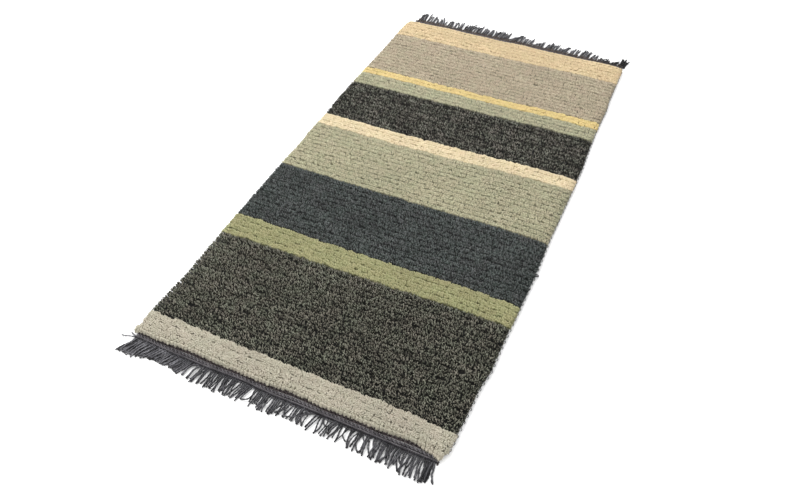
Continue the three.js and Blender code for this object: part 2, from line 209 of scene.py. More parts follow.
class Finish:
    """A procedural material, built node by node round its shader."""

    def __init__(self, name, sheen):
        self.material = bpy.data.materials.new(name)
        self.material.use_nodes = True
        self.tree = self.material.node_tree
        self.shader = self.tree.nodes["Principled BSDF"]
        self.shader.inputs["Specular IOR Level"].default_value = 0.1
        self.shader.inputs["Sheen Weight"].default_value = sheen
        self.shader.inputs["Sheen Roughness"].default_value = 0.5
        self.place = self.node("ShaderNodeTexCoord").outputs["Object"]

    def node(self, kind, settings=(), **inputs):
        """A node with its settings, and its inputs by name or number, each a value or a socket."""
        made = self.tree.nodes.new(kind)
        for key, value in dict(settings).items():
            setattr(made, key, value)
        for key, value in inputs.items():
            socket = made.inputs[int(key[1:]) if key[1:].isdigit() else key.replace("_", " ")]
            if isinstance(value, bpy.types.NodeSocket):
                self.tree.links.new(value, socket)
            else:
                socket.default_value = value
        return made

    def noise(self, scale, detail=2, place=None):
        made = self.node("ShaderNodeTexNoise", Vector=place or self.place, Scale=scale, Detail=detail)
        return made.outputs["Fac"]

    def read(self, attribute):
        return self.node("ShaderNodeAttribute", {"attribute_name": attribute}).outputs["Fac"]

    def spread(self, value, low, high, to_low, to_high):
        made = self.node("ShaderNodeMapRange", Value=value, From_Min=low, From_Max=high,
                         To_Min=to_low, To_Max=to_high)
        return made.outputs["Result"]

    def work_out(self, kind, first, second):
        return self.node("ShaderNodeMath", {"operation": kind}, i0=first, i1=second).outputs[0]

    def blend(self, kind, share, first, second):
        made = self.node("ShaderNodeMix", {"data_type": "RGBA", "blend_type": kind},
                         i0=share, i6=first, i7=second)
        return made.outputs[2]

    def shade(self, colour, value):
        """The colour, brighter or darker by a value that is 1 where nothing changes."""
        grey = self.node("ShaderNodeCombineXYZ", X=value, Y=value, Z=value).outputs[0]
        return self.blend("MULTIPLY", 1.0, colour, grey)

    def finish(self, colour, roughness, height, depth):
        self.tree.links.new(colour, self.shader.inputs["Base Color"])
        self.tree.links.new(roughness, self.shader.inputs["Roughness"])
        bump = self.node("ShaderNodeBump", Height=height, Distance=depth, Strength=0.8)
        self.tree.links.new(bump.outputs["Normal"], self.shader.inputs["Normal"])
        return self.material


def ground_wool(stripe):
    """The feet and the backs of the knots: small rounded loops in rows and columns, with painted shade
    between them and over the slab.
    """
    wool = Finish("ground_" + stripe["name"], sheen=0.2)
    loops = wool.node("ShaderNodeTexVoronoi", {"distance": "CHEBYCHEV"}, Scale=230, Vector=wool.place)
    # The loops darken the colour between them as painted shade, and they also give the bump.
    loop = wool.spread(loops.outputs["Distance"], 0, 0.7, 1, 0.45)
    fibre = wool.noise(900)
    share = wool.spread(fibre, 0.3, 0.7, 0.1, 0.7)
    colour = wool.blend("MIX", share, dye(*stripe["dark"]), dye(*stripe["light"]))
    height = wool.node("ShaderNodeSeparateXYZ", Vector=wool.place).outputs["Z"]
    # Painted shade over the whole slab: its underside at 0.75, and its top darker, down to the share of
    # light that gets into the pile.
    lit = wool.spread(height, 0.003, 0.007, 0.75, 0.8 * stripe["open"])
    return wool.finish(wool.shade(colour, wool.work_out("MULTIPLY", loop, lit)),
                       wool.spread(fibre, 0, 1, 0.85, 1), loop, 0.0008)


def ground_lines():
    """Points over the slab's top and its underside, line by line across it, and each line's stripe."""
    across = np.linspace(-1, 1, SLAB_PLACES)
    tops, backs, wears = [], [], []
    near_side = NEAR_EDGE
    for number, stripe in enumerate(STRIPES):
        for step in range(stripe["rows"] * 3 + (stripe is STRIPES[-1])):
            row, part = divmod(step, 3)
            depth = ROW_DEPTH[part]
            share = (row + ROW_ALONG[part]) / stripe["rows"]
            x, y = pile_place(near_side, stripe, share, across, depth)
            x = x * (1 - SLAB_EDGE / HALF_WIDTH)
            z = SLAB_TOP - depth * GROOVE_DEPTH + clipping_swell(x, y)
            z[[0, -1]] -= SLAB_EDGE_DROP
            tops.append(np.stack([x, y, z], 1))
            backs.append(np.stack([x, y, np.full(SLAB_PLACES, depth**8 * BACK_GROOVE)], 1))
            wears.append(number)
        near_side = stripe
    return np.array(tops), np.array(backs), np.array(wears)


def make_ground():
    """The slab, closed all round, each face in the wool of the stripe it lies in."""
    tops, backs, wears = ground_lines()
    for line, side in ((0, 1), (-1, -1)):
        tops[line, :, 1] += side * END_INSET
        backs[line, :, 1] += side * END_INSET
        backs[line, :, 2] = 0
    lines, places = tops.shape[:2]
    number = np.arange(lines * places).reshape(lines, places)
    under = number + lines * places
    quads, worn = [], []

    def cover(first, second, stripe):
        """A strip of faces between two lines of points, in a stripe's wool."""
        quads.append(np.stack([first[:-1], first[1:], second[1:], second[:-1]], 1))
        worn.append(np.full(len(first) - 1, stripe))

    for i in range(lines - 1):
        cover(number[i], number[i + 1], wears[i])
        cover(under[i + 1], under[i], wears[i])
        sides = np.array([[number[i, 0], number[i + 1, 0], under[i + 1, 0], under[i, 0]],
                          [number[i + 1, -1], number[i, -1], under[i, -1], under[i + 1, -1]]])
        quads.append(sides)
        worn.append(np.full(2, wears[i]))
    cover(under[0], number[0], wears[0])
    cover(number[-1], under[-1], wears[-1])
    points = np.concatenate([tops.reshape(-1, 3), backs.reshape(-1, 3)])
    mesh = make_mesh("rug_ground", points, np.concatenate(quads))
    mesh.polygons.foreach_set("material_index", np.concatenate(worn))
    return mesh


ground = put_on_rug(make_ground(), "wool_pile", *map(ground_wool, STRIPES))
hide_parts("pile")


# The knots: wool yarn tied round pairs of warps, row by row, and clipped by hand. Each knot stands up
# as two tufts of cut yarn ends, one behind the other, that spread a little and hide the ground, and along
# the rug's edges some of them hang over. The two tweeds are knotted from dark and light wool together.
KNOTS_ACROSS = 80
KNOT_SIZE = 11.6
END_ROOT_Z = 8
END_WIDTH = 0.62
END_WIDTHS = (1.1, 2.2)
LEAN = 0.2
RAGGED = 0.45
CUT_BELOW = 0.2
SHADE_BELOW = 9
# The heights below which the ends take their deepest painted shade, and above which they are painted fully
# lit
LIT_ABOVE = 13.5
ROW_DIP = 1.2
PIT_DEPTH = 3.6
EDGE_ROW_OFF = 1.3
SIDE_ENDS = 14
END_PITS = 0.8
END_LONG = 7
CORNER_START = 0.85
CORNER_REACH = 10
NEAR_SLOPE = 1.4
FAR_SLOPE = 7
FAR_TILT = 1.2
SIDE_SLOPES = (3, 5)
SIDE_LONG = 8
SIDE_HANG = (-1.4, 0.3)
SIDE_REACH = {-1: -1.6, 1: -3.4}
SIDE_ROOT_Z = (4, 9)
SIDE_TIP_Z = (2.2, 12)
NEAR_BEADS = {"reach": 3.2, "top": 15}
FAR_BEADS = {"reach": -2, "top": 8.5}
RNG = np.random.default_rng(4368)

# Each kind of wool: the tones of its yarns from dark to light and their shares, how much an end's tone
# and its fibres vary, its sheen, how wide the ends stay at their cut, how thin they are, how far they
# stray across and along the rug, the share of knots that are short all along their near side and of ends
# that are short there on their own, how close each tuft keeps to its middle, how much light is lost
# between two rows, how many ends together share a tone, how far the dye drifts towards red or green, and
# how far its depth changes from row to row
PLAIN = {"tones": [0.4, 0.6, 0.78], "shares": [0.25, 0.5, 0.25], "vary": 0.1, "fibre": 0.3, "sheen": 0.1,
         "cut": (0.85, 1.15), "thin": 1, "spread": (0.8, 0.5), "pits": 0.09, "short": 0.12, "pull": 0.2,
         "line": 0.58, "alike": 1, "drift": 0.014, "streak": 0.03}
PALE = {**PLAIN, "fibre": 0.2, "cut": (0.95, 1.2), "thin": 1.12, "spread": (0.6, 0.45), "pits": 0.05,
        "short": 0.1, "pull": 0.28, "line": 0.52, "drift": 0.01}
BLUES = {**PLAIN, "tones": [0.25, 0.5, 0.8], "shares": [0.3, 0.45, 0.25], "vary": 0.12, "fibre": 0.4,
         "sheen": 0.02, "cut": (0.7, 1), "thin": 0.82, "spread": (1.5, 0.6), "pits": 0.18, "line": 0.4,
         "drift": 0.02, "streak": 0.1}
TWEED = {**PLAIN, "tones": [0.1, 0.45, 0.7, 1], "shares": [0.24, 0.32, 0.27, 0.17], "vary": 0.12,
         "sheen": 0.02, "cut": (0.5, 0.9), "thin": 0.6, "spread": (2.4, 1.6), "pits": 0.14, "short": 0.3,
         "line": 0, "drift": 0.025, "streak": 0.16}
YARNS = {
    "light_beige": {**PALE, "pits": 0, "short": 0.04, "pull": 0, "line": 0},
    "grey_tweed": TWEED,
    "olive": {**PLAIN, "line": 0.2},
    "slate_blue": BLUES,
    "cream": {**PALE, "line": 0},
    "charcoal_tweed": {**TWEED, "shares": [0.4, 0.22, 0.2, 0.18], "line": 0.5, "alike": 2},
    "yellow": PALE,
    "sand": PALE,
}


def wool_of(stripe):
    """The kind of wool that a stripe is knotted from."""
    return YARNS.get(stripe["name"], PLAIN)


def tuft_wool(stripe):
    """Clipped wool: each end has tones of its own, with fibres, and painted shade makes it dark down in the
    pile.
    """
    yarn = wool_of(stripe)
    wool = Finish("wool_" + stripe["name"], yarn["sheen"])
    fibre = wool.noise(700, 3)
    patch = wool.noise(11, 2)
    stray = wool.spread(fibre, 0.32, 0.68, -yarn["fibre"], yarn["fibre"])
    share = wool.spread(wool.work_out("ADD", wool.read("tone"), stray), 0, 1, 0, 1)
    colour = wool.blend("MIX", share, dye(*stripe["dark"]), dye(*stripe["light"]))
    # Painted shade: the ends darken towards their roots, down to the share of light that gets into the
    # pile.
    pile_shade = wool.spread(wool.read("painted_light"), 0.15, 0.85, stripe["open"], 1)
    redder = wool.spread(wool.noise(40, 2), 0.35, 0.65, 1 - yarn["drift"], 1 + yarn["drift"])
    greener = wool.work_out("SUBTRACT", 2, redder)
    tint = wool.node("ShaderNodeCombineXYZ", X=redder, Y=greener, Z=1).outputs[0]
    worn = wool.spread(patch, 0.3, 0.7, 0.95, 1.05)
    along_rows = wool.node("ShaderNodeMapping", Vector=wool.place, Scale=(0.15, 1, 1)).outputs[0]
    streak = wool.spread(wool.noise(55, 2, along_rows), 0.35, 0.65, 1 - yarn["streak"], 1 + yarn["streak"])
    colour = wool.shade(wool.shade(wool.shade(colour, pile_shade), worn), streak)
    colour = wool.blend("MULTIPLY", 1.0, colour, tint)
    return wool.finish(colour, wool.spread(fibre, 0, 1, 0.85, 1), fibre, 0.0004)


def ends_mesh(name, yarn, root, tip, radius, painted_light):
    """Three-sided yarn ends from root to tip, each with its tone and its painted light, and a map with a
    cell for each.
    """
    count = len(root)
    spin = RNG.uniform(0, 2 * np.pi, count)
    turn = spin[:, None] + np.arange(3) * 2 * np.pi / 3
    ring = np.stack([np.cos(turn), np.sin(turn), np.zeros_like(turn)], 2) * radius[:, None, None]
    top = ring * RNG.uniform(*yarn["cut"], (count, 1, 1))
    lean = (tip - root)[:, None, :2] / np.maximum(tip - root, 4)[:, None, 2:]
    top[..., 2] = RNG.uniform(-0.4, 0.3, (count, 3)) - (top[..., :2] * lean).sum(2)
    points = np.stack([root[:, None] + ring, tip[:, None] + top], 1).reshape(-1, 3)
    first = np.arange(count)[:, None] * 6
    sides = np.concatenate([first + [i, (i + 1) % 3, 3 + (i + 1) % 3, 3 + i] for i in range(3)])
    mesh = make_mesh(name, points, sides, first + [3, 4, 5])
    alike = yarn["alike"]
    tone = RNG.choice(yarn["tones"], size=count // alike + 1, p=yarn["shares"]).repeat(alike)[:count]
    set_values(mesh, "tone", np.repeat(tone, 6) + RNG.normal(0, yarn["vary"], count * 6))
    # The painted light of each end, one value at its root ring and one at its tip ring.
    set_values(mesh, "painted_light", np.repeat(painted_light, 3, axis=1).ravel())
    map_ends(mesh, count)
    return mesh


def set_values(mesh, name, values):
    """A value for each point of a mesh, for its material to read."""
    mesh.attributes.new(name, "FLOAT", "POINT").data.foreach_set("value", values.astype(np.float32))


def map_ends(mesh, count):
    """Lays each yarn end out in a small square of its own, its three sides below and its cut above."""
    wide = math.ceil(math.sqrt(count))
    cell = np.stack([np.arange(count) % wide, np.arange(count) // wide], 1)[:, None]
    left, right, foot, head = 0.08, 0.92, 0.08, 0.68
    spots = []
    for i in range(3):
        a, b = (mix(left, right, (i + edge) / 3) for edge in (0, 1))
        spots.append(cell + [[a, foot], [b, foot], [b, head], [a, head]])
    cut = cell + [[left, head], [right, head], [0.5, 0.92]]
    places = np.concatenate([spot.reshape(-1, 2) for spot in (*spots, cut)]) / wide
    mesh.uv_layers.new(name="OFBake").uv.foreach_set("vector", places.ravel())


def bunch(root, tip, low, high):
    """Yarn ends as one table: root and tip, and the painted light at each end's root and at its tip."""
    return np.column_stack([root, tip, np.broadcast_to(low, len(root)), np.broadcast_to(high, len(root))])


def knot_ends(near_side, stripe):
    """Every yarn end in a stripe's knots, row by row from the near side."""
    rows = stripe["rows"]
    wide, long = stripe["ends"]
    ends = wide * long
    knots = rows * KNOTS_ACROSS
    count = knots * ends
    row = np.repeat(np.arange(rows), KNOTS_ACROSS * ends)
    column = np.tile(np.repeat(np.arange(KNOTS_ACROSS), ends), rows)
    i = np.tile(np.arange(ends) % wide, knots)
    j = np.tile(np.arange(ends) // wide, knots)
    a = (i + 0.5) / wide * 2 - 1 + RNG.uniform(-0.8, 0.8, count) / wide
    b = (j + 0.5) / long * 2 - 1 + RNG.uniform(-0.5, 0.5, count) / long
    b += (np.sign(b) * 0.5 - b) * wool_of(stripe)["pull"]
    off_x, off_y = np.repeat(RNG.normal(0, 0.1, (2, knots)), ends, axis=1)
    off_y *= np.where((row == 0) | (row == rows - 1), EDGE_ROW_OFF, 1)
    across = (column + 0.5 + (a + off_x) / 2) / KNOTS_ACROSS * 2 - 1
    share = np.clip((row + 0.5 + (b + off_y) / 2) / rows, -0.04, 1.04)
    depth = np.interp((b + 1) / 2, ROW_ALONG, ROW_DEPTH)
    x, y = pile_place(near_side, stripe, share, across * 0.999, 0)
    from_near = (y - line_y(NEAR_EDGE, across)).clip(0)
    from_far = (line_y(FAR_EDGE, across) - y).clip(0)
    last = (np.minimum(from_near, from_far) < END_LONG) & (i == 0) & (RNG.random(count) < END_PITS)
    dash = (j == 0) & np.repeat(RNG.random(knots) < wool_of(stripe)["pits"], ends)
    dot = (j == 0) & (i == 0) & (RNG.random(count) < wool_of(stripe)["short"])
    dip = depth * ROW_DIP + (last | dash | dot) * PIT_DEPTH
    z = PILE_HEIGHT - CUT_BELOW - dip + clipping_swell(x, y)
    fall = np.exp(-HALF_WIDTH * (1 - np.abs(across)) / SIDE_LONG)
    z -= np.choose(across > 0, SIDE_SLOPES) * fall
    z -= NEAR_SLOPE * np.exp(-from_near / END_LONG)
    z -= (FAR_SLOPE - FAR_TILT * across) * np.exp(-from_far / END_LONG)
    z = np.maximum(z - np.abs(RNG.normal(0, RAGGED, count)), END_ROOT_Z + 1)
    root = np.stack([x - a, y - b, np.full(count, float(END_ROOT_Z))], 1)
    stray = RNG.normal(0, 1, (count, 2)) * wool_of(stripe)["spread"]
    hang = np.choose(across > 0, SIDE_HANG) * fall / wool_of(stripe)["thin"]
    tip = np.stack([x + stray[:, 0] * (1 - fall) + hang, y + stray[:, 1] + LEAN, z], 1)
    # Painted light: each tip is lit by its height, with painted shade at the edges of each row.
    light = np.clip((z - SHADE_BELOW) / (LIT_ABOVE - SHADE_BELOW), 0.1, 1)
    light -= depth * wool_of(stripe)["line"]
    return bunch(root, tip, 0, light)


def side_ends(near_side, stripe, side):
    """Yarn ends that spread over a side edge of the rug, a bunch for each row."""
    each = round(SIDE_ENDS / wool_of(stripe)["thin"])
    count = stripe["rows"] * each
    row = np.repeat(np.arange(stripe["rows"]), each)
    b = RNG.uniform(-0.8, 0.8, count)
    x, y = pile_place(near_side, stripe, (row + 0.5 + b / 2) / stripe["rows"], side, 0)
    up = RNG.uniform(0, 1, count)
    bulge = SIDE_REACH[side] + 2 * (1 - b**2) - 1.6 * up**2
    root = np.stack([x - side * 4, y - b * 2, mix(*SIDE_ROOT_Z, up)], 1)
    tip = np.stack([x + side * bulge, y, mix(*SIDE_TIP_Z, up)], 1)
    return bunch(root, tip + RNG.normal(0, 0.5, (count, 3)), 0, mix(0.3, 0.75, up))


def end_ends(edge, neighbour, side, reach, top):
    """Yarn ends of the last row that round off over its web, each knot as a small bead."""
    wide, high = 5, 4
    count = KNOTS_ACROSS * wide * high
    column = np.repeat(np.arange(KNOTS_ACROSS), wide * high)
    a = (np.tile(np.arange(wide), KNOTS_ACROSS * high) / (wide - 1) * 2 - 1) * 0.58
    up = np.tile(np.repeat(np.arange(high), wide), KNOTS_ACROSS) / (high - 1)
    far_out = np.repeat(RNG.normal(0, 0.5, KNOTS_ACROSS), wide * high)
    across = (column + 0.5 + a / 2) / KNOTS_ACROSS * 2 - 1
    x, y = pile_place(neighbour, edge, 1, across, 0)
    corner = np.clip((across - CORNER_START) / (1 - CORNER_START), 0, 1) ** 0.8 * CORNER_REACH * (side < 0)
    bulge = (reach + far_out - 3 * a**2 + corner) * (1 - 0.8 * up)
    root = np.stack([x - a * 1.5, y - side * (5 - corner * 0.4), mix(4, 7, up)], 1)
    tip = np.stack([x, y + side * bulge, mix(top - 5, top, up) - corner * 0.2], 1)
    return bunch(root, tip + RNG.normal(0, 0.6, (count, 3)), 0.2, 0.9)


# Where the wool of the near corners curls over the ends of the web: the middle and the half widths
CORNER_CURLS = [(-344, -691, 5, 7), (336, -690, 9, 7)]
CURL_ENDS = 130


def corner_curls():
    """Yarn ends of the two near corners, high on the side of the pile and dropping over the web."""
    bunches = []
    for x, y, half_x, half_y in CORNER_CURLS:
        out = np.sqrt(RNG.random(CURL_ENDS))
        turn = RNG.uniform(0, 2 * np.pi, CURL_ENDS)
        spot = np.stack([np.cos(turn) * half_x, np.sin(turn) * half_y], 1) * out[:, None]
        root = np.column_stack([spot * 0.7 + [x, y], np.full(CURL_ENDS, 3.0)])
        drop = np.clip(0.5 - spot[:, 1] / half_y / 2, 0, 1)
        tip = np.column_stack([spot + [x, y], mix(14, 4.5, drop**1.5)])
        bunches.append(bunch(root, tip + RNG.normal(0, 0.7, (CURL_ENDS, 3)), 0, mix(1, 0.7, drop)))
    return bunches


near_side = NEAR_EDGE
tufts = []
for stripe in STRIPES:
    bunches = [knot_ends(near_side, stripe)]
    bunches += [side_ends(near_side, stripe, side) for side in (-1, 1)]
    if stripe is STRIPES[0]:
        bunches += [end_ends(NEAR_EDGE, stripe, -1, **NEAR_BEADS), *corner_curls()]
    if stripe is STRIPES[-1]:
        bunches += [end_ends(FAR_EDGE, near_side, 1, **FAR_BEADS)]
    root, tip, painted_light = np.split(np.concatenate(bunches), [3, 6], axis=1)
    apart = KNOT_SIZE / math.sqrt(math.prod(stripe["ends"]))
    radius = RNG.normal(END_WIDTH * apart, 0.15, len(root)).clip(*END_WIDTHS) * wool_of(stripe)["thin"]
    mesh = ends_mesh("knots_" + stripe["name"], wool_of(stripe), root, tip, radius, painted_light)
    tufts.append(put_on_rug(mesh, "wool_pile", tuft_wool(stripe)))
    near_side = stripe


# The side turns: at each side edge the dark cotton weft comes out between two rows of knots, turns
# round the outermost warp and goes back in. One turn on the right edge has been pulled out into a loop.
TURN_RADIUS = 0.75
TURN_REACH = 2.2
TURN_HEIGHT = 5
TURN_CLIMB = 1.6

# The pulled loop: the middle of the two places where it leaves the edge, how far it stands out, half of
# its width and how far it sags
LOOP_FROM = (358, -193, 4.2)
LOOP_OUT = 8
LOOP_HALF_WIDTH = 3
LOOP_SAG = 1.2


def sweep(name, paths, radius, sides, lobes=0, twist=0, lit=1):
    """Yarns along paths of as many points each, closed at both ends. Two plies show as lobes that twist."""
    count, rings = paths.shape[:2]
    ahead = np.gradient(paths, axis=1)
    ahead /= np.linalg.norm(ahead, axis=2, keepdims=True)
    across = np.cross(ahead, [0, 0, 1])
    across /= np.linalg.norm(across, axis=2, keepdims=True)
    up = np.cross(across, ahead)
    turn = np.arange(sides) * 2 * np.pi / sides
    wave = np.cos(2 * (turn - np.broadcast_to(twist, (count, rings))[..., None]))
    out = np.broadcast_to(radius, (count, rings))[..., None] * (1 + lobes * wave)
    ring = np.cos(turn)[:, None] * across[:, :, None] + np.sin(turn)[:, None] * up[:, :, None]
    points = paths[:, :, None] + out[..., None] * ring
    number = np.arange(count * rings * sides).reshape(count, rings, sides)
    near, far = number[:, :-1], number[:, 1:]
    walls = np.stack([near, far, np.roll(far, -1, 2), np.roll(near, -1, 2)], 3).reshape(-1, 4)
    mesh = make_mesh(name, points.reshape(-1, 3), walls, number[:, 0], number[:, -1, ::-1])
    # Painted light: each yarn lighter on top, painted shade underneath and in the grooves between its
    # plies, and "lit" its painted brightness along its length.
    set_values(mesh, "painted_light", ((0.5 + 0.5 * np.sin(turn)) * (1 + lobes * (wave - 1))).ravel())
    set_values(mesh, "lit", np.broadcast_to(lit, (count, rings)).repeat(sides))
    map_yarns(mesh, count, rings, sides)
    return mesh


def map_yarns(mesh, count, rings, sides):
    """Lays each yarn out as a strip of its own, with its two cut ends above and below."""
    yarn, ring, side = np.meshgrid(np.arange(count), np.arange(rings - 1), np.arange(sides), indexing="ij")
    corners = []
    for far, right in ((0, 0), (1, 0), (1, 1), (0, 1)):
        u = (yarn + mix(0.08, 0.92, (side + right) / sides)) / count
        v = mix(0.03, 0.97, (ring + far) / (rings - 1))
        corners.append(np.stack([u, v], 3))
    turn = np.arange(sides) * 2 * np.pi / sides
    disc = np.stack([np.cos(turn) * 0.4 / count, np.sin(turn) * 0.012], 1)
    middle = (np.arange(count)[:, None, None] + 0.5) / count * [1, 0]
    ends = [middle + disc + [0, 0.015], middle + disc[::-1] + [0, 0.985]]
    places = np.concatenate([np.stack(corners, 3).reshape(-1, 2), *(end.reshape(-1, 2) for end in ends)])
    mesh.uv_layers.new(name="OFBake").uv.foreach_set("vector", places.ravel())


def cotton(name, dark, light, sheen=0.1, round_off=(0.1, 0.9, 0.3)):
    """Spun cotton with fine fibres and slow changes in the dye, in painted light and shade."""
    yarn = Finish(name, sheen)
    fibre = yarn.noise(1400, 3)
    cloud = yarn.noise(60, 2)
    share = yarn.work_out("ADD", yarn.spread(fibre, 0.3, 0.7, 0, 0.6),
                          yarn.spread(cloud, 0.3, 0.7, -0.1, 0.4))
    colour = yarn.blend("MIX", share, dye(*dark), dye(*light))
    # Painted light: lighter on top of each yarn, painted shade underneath and between its plies, times its
    # painted brightness.
    round_light = yarn.spread(yarn.read("painted_light"), *round_off, 1)
    colour = yarn.shade(yarn.shade(colour, round_light), yarn.read("lit"))
    return yarn.finish(colour, yarn.spread(fibre, 0, 1, 0.8, 0.95), fibre, 0.0002)


def side_turns():
    """The path of each turn, from the edge of the ground out round the outermost warp and back."""
    paths = []
    along = np.linspace(-1, 1, 7)
    near_side = NEAR_EDGE
    for stripe in STRIPES:
        for row in range(stripe["rows"]):
            for side in (-1, 1):
                x, y = pile_place(near_side, stripe, row / stripe["rows"], side, 1)
                bow = np.sqrt(1 - along**2 * 0.96)
                out = x + side * (TURN_REACH * bow + 0.6)
                z = TURN_HEIGHT + along * TURN_CLIMB + RNG.normal(0, 0.7)
                paths.append(np.stack([out, y + along * TURN_REACH, z], 1))
        near_side = stripe
    return np.array(paths)


weft_cotton = cotton("weft_cotton", (16, 15, 17), (42, 40, 44))
turns = put_on_rug(sweep("side_turns", side_turns(), TURN_RADIUS, 5), "cotton_web", weft_cotton)

bend = np.pi * np.linspace(0, 1, 15)
pulled = np.stack([LOOP_FROM[0] + LOOP_OUT * np.sin(bend) ** 0.8,
                   LOOP_FROM[1] + LOOP_HALF_WIDTH * np.cos(bend),
                   LOOP_FROM[2] - LOOP_SAG * np.sin(bend)], 1)
loop = put_on_rug(sweep("pulled_loop", pulled[None], 1.1, 6), "cotton_web", weft_cotton)


# The webs: at each end the weaver beats in a narrow band of fine brownish weft, then closes it with two
# rows of twining in grey cotton, whose strands turn round each other at each pair of warps and leave a
# dark hole between every two stitches.
WEB_X = [-345, -250, -167, -84, 0, 84, 167, 250, 345]
WEB_ENDS = {
    "near": [-704, -706.5, -706, -702.5, -705.5, -703.5, -703, -702.5, -701],
    "far": [704, 707, 708.5, 710.5, 711, 713.5, 713, 715, 715.5],
}
WEB_SPANS = {"near": (-341, 341), "far": (-334, 341)}
WARP_PAIR = 8.75
WEFT_SHARES = [-0.14, -0.06, 0.02, 0.1, 0.18, 0.26, 0.34]
BED_SHARES = [0.48, 0.6, 0.72, 0.84]
WEFT_STEP = WARP_PAIR / 3
TWINE_STEP = WARP_PAIR / 7


def web_inner(end, x):
    """Where the pile ends and the web starts."""
    edge, side, depth = (NEAR_EDGE, -1, 1) if end == "near" else (FAR_EDGE, 1, 0)
    left, right = (side_x(way, line_y(edge, way), depth) for way in (-1, 1))
    return line_y(edge, (x - left) / (right - left) * 2 - 1)


def web_place(end, x, share):
    """Where a thread of the web lies, at a share of its width from the pile to its outer edge."""
    return mix(web_inner(end, x), np.interp(x, WEB_X, WEB_ENDS[end]), share)


def weft_paths(end, shares, height, wave):
    """Straight rows of weft, over one warp and under the next."""
    x = np.arange(*WEB_SPANS[end], WEFT_STEP)
    paths = []
    for row, share in enumerate(shares):
        over = np.cos(np.pi * (x * 2 / WARP_PAIR + row)) * wave
        y = web_place(end, x, share) + RNG.normal(0, 0.15, len(x))
        paths.append(np.stack([x, y, height + over + RNG.normal(0, 0.08, len(x))], 1))
    return np.array(paths)


def twine_paths(end, share, height, width, way):
    """Two strands that turn round each other, once at every pair of warps."""
    x = np.arange(*WEB_SPANS[end], TWINE_STEP)
    turn = way * 2 * np.pi * x / WARP_PAIR + 0.5 * np.sin(x / 23)
    paths = []
    for start in (0, np.pi):
        y = web_place(end, x, share) + width * np.cos(turn + start)
        paths.append(np.stack([x, y, height + 1.3 * np.sin(turn + start)], 1))
    return np.array(paths)


web_cotton = cotton("web_cotton", (58, 52, 53), (118, 108, 108))
# The second strand of the first twining row is painted dark as the shade beside each stitch.
shade_cotton = cotton("shade_cotton", (38, 36, 38), (98, 94, 97))
# The bed: near-black threads low in the web, painted shade that shows as the dark holes between the
# stitches.
bed_shade_cotton = cotton("bed_shade_cotton", (9, 8, 9), (26, 24, 25))
twine_cotton = cotton("twine_cotton", (70, 67, 71), (140, 136, 139))
for end in ("near", "far"):
    light, dark = np.split(twine_paths(end, share=0.6, height=2.7, width=2.2, way=1), 2)
    picks = weft_paths(end, WEFT_SHARES, height=2, wave=0.6)
    web = put_on_rug(sweep("web_weft_" + end, picks, 0.78, 4), "cotton_web", web_cotton)
    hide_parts("web_" + end)
    paths = np.concatenate([weft_paths(end, BED_SHARES, height=0.9, wave=0.1),
                            weft_paths(end, [0.24], height=2.2, wave=0.9)])
    bed = put_on_rug(sweep("web_shade_bed_" + end, paths, 0.9, 4), "cotton_web", bed_shade_cotton)
    rows = np.concatenate([light, twine_paths(end, share=0.92, height=2.5, width=0.9, way=-1)])
    mesh = sweep("web_twining_" + end, rows, 1.1, 5, lit=[[1.05], [0.7], [0.7]])
    twining = put_on_rug(mesh, "cotton_web", twine_cotton)
    shade = put_on_rug(sweep("web_dark_strands_" + end, dark, 1.0, 5), "cotton_web", shade_cotton)
    tufts += [web, bed, twining, shade]


# The fringes: the warp ends, cut off about 40 mm past the webs and left plain. A last line of dark
# twining holds them. Each is a plied cotton yarn; they lie on the floor in locks, some across others.
FRINGE_START = 706
STRAND_POINTS = 13
STRAND_RADIUS = 1.6
STRAND_PITCH = 4.3
PLY_TWIST = 0.42
ROOT_PITCH = 2.1
ROOT_REACH = {"near": (2.5, 7), "far": (6, 20)}
ROOT_HEIGHT = {"near": 1.4, "far": 3.8}

# The painted light and shade on the yarns of each fringe from left to right
NEAR_PAINTED_LIGHT = {"x": [-205, -185], "lit": [0.8, 0.4]}
FAR_PAINTED_LIGHT = {"x": [-300, -260, -210, -180, 200, 260, 290], "lit": [0.7, 1.4, 1.25, 1, 0.95, 0.7, 0.12]}

